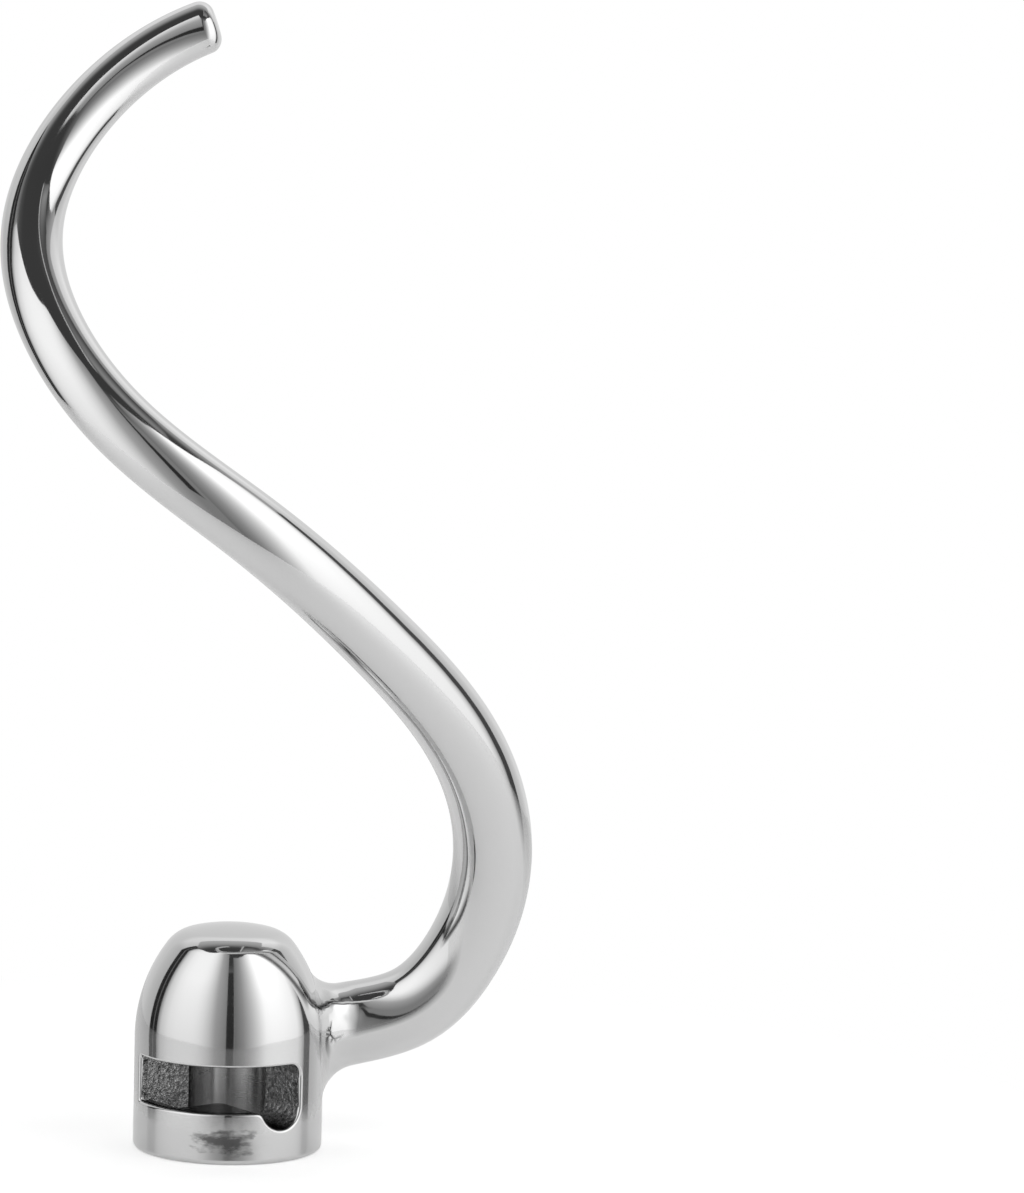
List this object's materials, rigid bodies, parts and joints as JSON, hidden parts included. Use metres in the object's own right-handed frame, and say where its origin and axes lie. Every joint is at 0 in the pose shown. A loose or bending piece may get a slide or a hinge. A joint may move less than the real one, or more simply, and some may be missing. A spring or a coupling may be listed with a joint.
{
  "type": "stand mixer dough hook",
  "caption": "Spiral dough hook cast as one piece: a tapering round arm winds out of a domed hub, whose bore and side window lock onto a mixer's drive shaft and its cross pin.",
  "frame": {"origin": "centre of the bore's mouth, on the flat end of the hub that the hook stands on", "axes": "+Z along the bore from its mouth towards the dome and the spiral, -Y the side with the pin window, +X the side where the arm leaves the hub"},
  "size_m": [0.0883, 0.0644, 0.1892],
  "materials": {
    "polished_stainless": "investment-cast stainless steel, mirror polished by hand, left as cast inside the window"
  },
  "bodies": {
    "root": {"dough_hook": "polished_stainless"}
  },
  "joints": []
}
